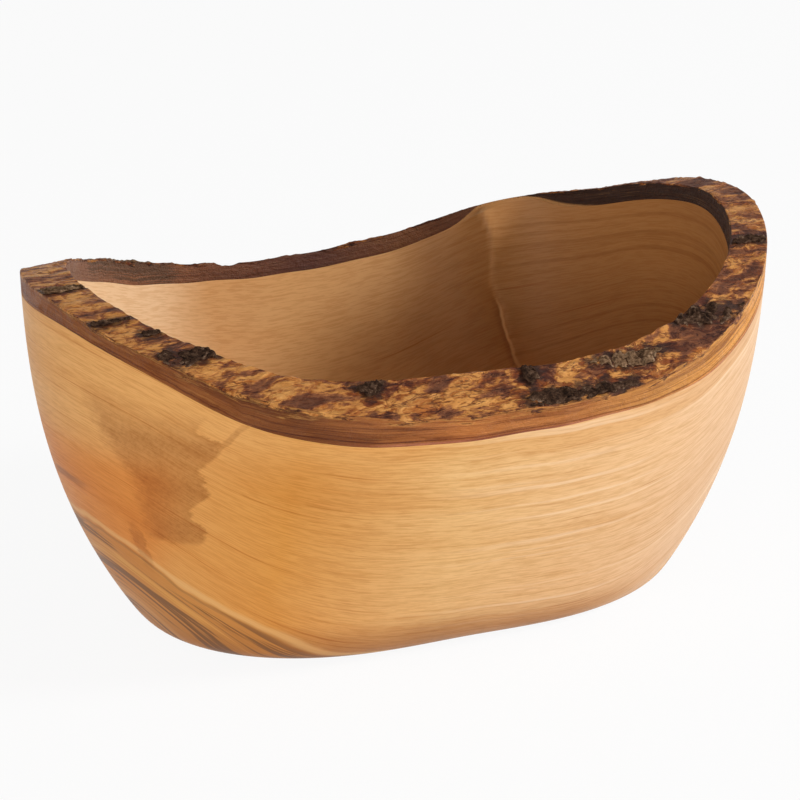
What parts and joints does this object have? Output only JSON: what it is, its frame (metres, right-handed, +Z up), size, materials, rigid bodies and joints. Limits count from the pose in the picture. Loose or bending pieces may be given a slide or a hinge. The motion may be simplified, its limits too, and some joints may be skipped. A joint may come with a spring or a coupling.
{
  "type": "natural-edge bowl",
  "caption": "Oval wooden bowl hollowed from half a log, with flaring sides, a flat base and a wavy natural rim that keeps its layer of bark.",
  "frame": {"origin": "middle of the bowl's outline, on the plane of the flat base", "axes": "+X along the log, which is the bowl's long way; +Y across the log; +Z up out of the bowl"},
  "size_m": [0.2021, 0.1538, 0.0998],
  "materials": {
    "wood": "oiled and polished olive wood, satin",
    "bark": "inner bark, sealed, slightly glossy and uneven",
    "crust": "rough outer bark, sealed"
  },
  "bodies": {
    "root": {"bowl_body": "wood", "inner_bark_rim": "bark", "bark_crust_front_right": "crust", "bark_crust_right_corner": "crust", "bark_crust_right_end": "crust", "bark_crust_nodules": "crust", "bark_crust_front_middle": "crust", "bark_crust_front_crumb": "crust", "bark_crust_left_front": "crust", "bark_crust_left_spot": "crust", "bark_crust_left_strip": "crust", "bark_crust_left_end": "crust", "bark_crust_back_left": "crust"}
  },
  "joints": []
}
